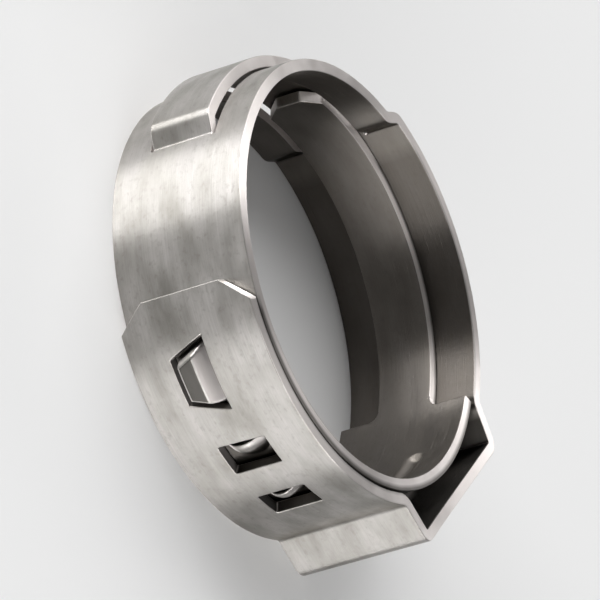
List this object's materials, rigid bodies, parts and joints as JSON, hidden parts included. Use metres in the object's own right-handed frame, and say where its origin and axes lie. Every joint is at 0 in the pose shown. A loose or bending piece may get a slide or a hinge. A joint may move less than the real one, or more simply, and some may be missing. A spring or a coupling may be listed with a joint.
{
  "type": "ear hose clamp",
  "caption": "One-piece stepless ear clamp curled from flat stainless strip, with a squeeze ear, latch windows, scooped hooks and a tongue in a slit groove.",
  "frame": {"origin": "on the bore's axis, at the middle of the strip's width", "axes": "+Z along the bore, +X out through the middle of the ear, +Y towards the tongue groove"},
  "size_m": [0.0233, 0.023, 0.007],
  "materials": {
    "stainless_strip": "mill-finished stainless strip, faintly brushed along its length, with bright sheared edges"
  },
  "bodies": {
    "root": {"clamp_band": "stainless_strip"}
  },
  "joints": []
}
